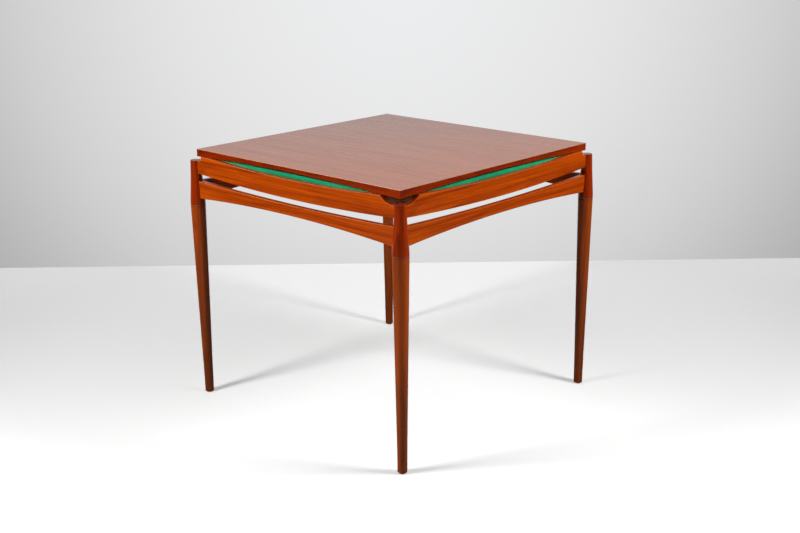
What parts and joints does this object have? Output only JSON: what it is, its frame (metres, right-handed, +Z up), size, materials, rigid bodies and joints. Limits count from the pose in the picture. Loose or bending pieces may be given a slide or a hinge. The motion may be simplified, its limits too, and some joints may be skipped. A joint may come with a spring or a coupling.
{
  "type": "games table",
  "caption": "Square games table with a reversible veneer and felt board between arched double rails, on turned tapering legs.",
  "frame": {"origin": "on the floor, under the middle of the square board", "axes": "+Z up; X and Y each square to two of the table's sides, front is the side towards -Y"},
  "size_m": [0.835, 0.835, 0.742],
  "materials": {
    "turned_wood": "satin",
    "rail_wood": "satin",
    "lipping_wood": "satin",
    "top_veneer": "satin",
    "felt": "matte",
    "board_core": "matte",
    "block_wood": "matte",
    "dowel_wood": "matte",
    "screw_steel": "satin",
    "bolt_steel": "satin",
    "insert_steel": "satin",
    "glide_nylon": "matte"
  },
  "bodies": {
    "frame": {"post_front_right": "turned_wood", "post_back_right": "turned_wood", "post_back_left": "turned_wood", "post_front_left": "turned_wood", "upper_rail_front": "rail_wood", "upper_rail_right": "rail_wood", "upper_rail_back": "rail_wood", "upper_rail_left": "rail_wood", "lower_rail_front": "rail_wood", "lower_rail_right": "rail_wood", "lower_rail_back": "rail_wood", "lower_rail_left": "rail_wood", "leg_front_right": "turned_wood", "leg_back_right": "turned_wood", "leg_back_left": "turned_wood", "leg_front_left": "turned_wood", "corner_block_front_right": "block_wood", "corner_block_back_right": "block_wood", "corner_block_back_left": "block_wood", "corner_block_front_left": "block_wood", "upper_dowels": "dowel_wood", "lower_dowels": "dowel_wood", "block_screws": "screw_steel", "leg_bolts": "bolt_steel", "threaded_inserts": "insert_steel", "foot_glides": "glide_nylon"},
    "top_board": {"top_core": "board_core", "playing_panel": "board_core", "top_veneer": "top_veneer", "felt_cover": "felt", "lipping_front": "lipping_wood", "lipping_right": "lipping_wood", "lipping_back": "lipping_wood", "lipping_left": "lipping_wood"}
  },
  "joints": [
    {"name": "top_board_lift", "type": "slide", "parent": "frame", "child": "top_board", "axis": [0, 0, 1], "range_m": [0, 0.2]}
  ]
}
